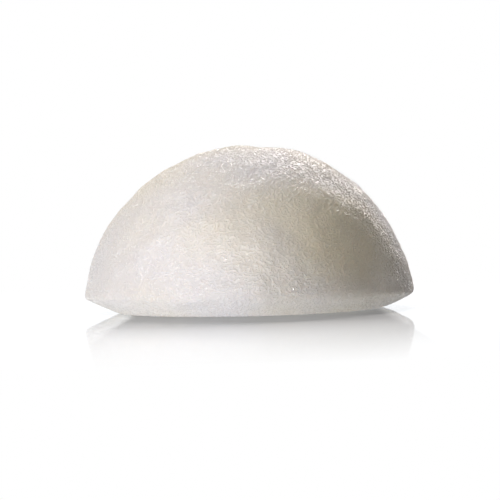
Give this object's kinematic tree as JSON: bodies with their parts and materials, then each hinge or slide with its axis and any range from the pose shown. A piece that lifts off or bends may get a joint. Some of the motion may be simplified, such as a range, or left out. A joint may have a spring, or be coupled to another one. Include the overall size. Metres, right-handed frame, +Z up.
{
  "type": "konjac sponge",
  "caption": "Half-ball konjac foam sponge with a domed crown, a soft rim and a shallow drawn-in underside ending in a flat resting face.",
  "frame": {"origin": "middle of the flat resting face", "axes": "+Z up through the top of the crown, along the axis that the sponge is round about; X and Y lie in the resting face"},
  "size_m": [0.08, 0.08, 0.04],
  "materials": {
    "konjac_foam": "matte, finely felted, natural off-white"
  },
  "bodies": {
    "root": {"sponge": "konjac_foam"}
  },
  "joints": []
}
